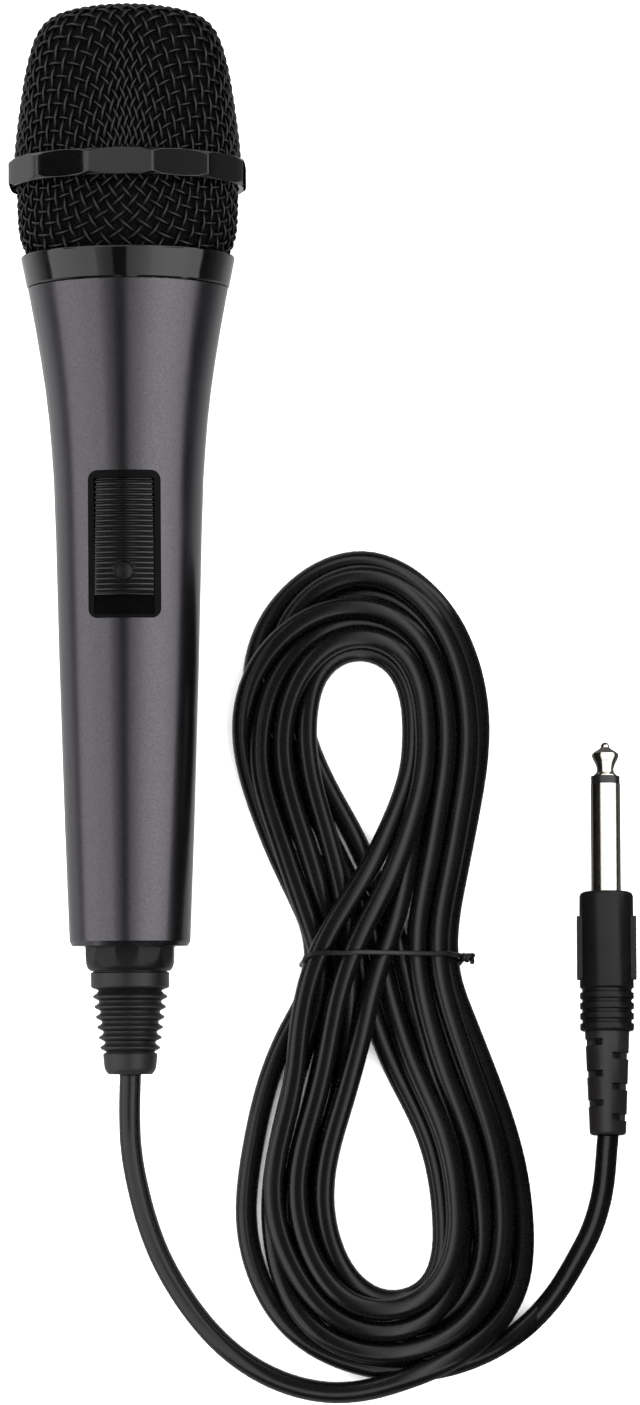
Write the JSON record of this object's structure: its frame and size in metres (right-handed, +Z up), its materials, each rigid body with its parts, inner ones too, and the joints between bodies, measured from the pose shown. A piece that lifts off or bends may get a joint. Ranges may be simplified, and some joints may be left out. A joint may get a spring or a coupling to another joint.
{
  "type": "dynamic microphone",
  "caption": "Wired handheld dynamic microphone: tapered dark grey body with a slide switch, woven mesh grille with a faceted ring, tied cord and phone plug.",
  "frame": {"origin": "on the surface the microphone lies on, below the middle of its bounding box, measured without the free cord and its plug", "axes": "+Z up from the surface; +Y along the microphone towards its grille; the on/off switch faces up; the cord and plug lie on the +X side"},
  "size_m": [0.1334, 0.2985, 0.0507],
  "materials": {
    "body_paint": "satin dark grey paint with fine metallic flake",
    "black_gloss": "polished black",
    "mesh_wire": "black enamelled woven wire",
    "black_foam": "open-cell black foam",
    "black_plastic": "satin moulded black plastic",
    "black_rubber": "satin black moulded vinyl",
    "cord_jacket": "smooth satin black vinyl jacket",
    "tie_plastic": "black plastic-covered wire",
    "grey_plastic": "dark grey moulded plastic",
    "steel": "bright pressed steel",
    "nickel": "nickel plate",
    "zinc": "plain cast zinc",
    "magnet": "nickel-plated magnet",
    "copper": "bare copper",
    "clear_film": "thin polyester film",
    "felt": "dark felt",
    "board": "green circuit board",
    "wire_red": "red insulated hook-up wire",
    "wire_white": "white insulated hook-up wire",
    "insulator": "black plastic insulator"
  },
  "bodies": {
    "handle": {"body_shell": "body_paint", "neck_insert": "zinc", "shock_mount": "black_rubber", "capsule_housing": "black_plastic", "pole_yoke": "steel", "magnet": "magnet", "pole_plate": "steel", "acoustic_felt": "felt", "capsule_front_cap": "black_plastic", "terminal_board": "board", "lead_hot": "wire_red", "lead_ground": "wire_white", "switch_bezel": "black_plastic", "switch_housing": "steel", "switch_screw_lower": "steel", "switch_screw_upper": "steel", "tail_cap": "black_plastic", "cord_boot": "black_rubber", "inner_cord": "cord_jacket", "cord_clamp": "grey_plastic", "cord_lead_mic": "cord_jacket", "cord_lead_plug": "cord_jacket", "cord_hank": "cord_jacket", "cord_tie": "tie_plastic", "plug_tip": "nickel", "plug_insulator": "insulator", "plug_sleeve": "nickel", "plug_handle": "black_plastic", "plug_boot": "black_rubber", "plug_tip_lug": "nickel", "plug_sleeve_lug": "nickel", "plug_inner_cord": "cord_jacket"},
    "head_lift": {"foam_liner": "black_foam"},
    "head": {"grille_dome": "mesh_wire", "grille_skirt": "mesh_wire", "grille_ring": "black_gloss", "mesh_joint_band": "steel", "grille_collar": "black_gloss"},
    "slider": {"switch_slider": "black_plastic", "switch_actuator": "grey_plastic", "switch_contact": "copper"},
    "diaphragm_unit": {"diaphragm": "clear_film", "voice_coil": "copper"}
  },
  "joints": [
    {"name": "grille_travel", "type": "slide", "parent": "handle", "child": "head_lift", "axis": [0, 0.9971, 0.0756], "range_m": [0, 0.00626]},
    {"name": "grille_turn", "type": "hinge", "parent": "head_lift", "child": "head", "pos_m": [0, 0.06237, 0.02417], "axis": [0, 0.9971, 0.0756], "range_deg": [0, 1800]},
    {"name": "switch_slide", "type": "slide", "parent": "handle", "child": "slider", "axis": [0, -0.9971, -0.0756], "range_m": [0, 0.004]},
    {"name": "diaphragm_travel", "type": "slide", "parent": "handle", "child": "diaphragm_unit", "axis": [0, 0.9971, 0.0756], "range_m": [-0.0003, 0.0003], "stiffness_N_per_m": 60}
  ],
  "couplings": [
    {"joint": "grille_travel", "follows": "grille_turn", "m_per_rad": 0.00019894}
  ]
}
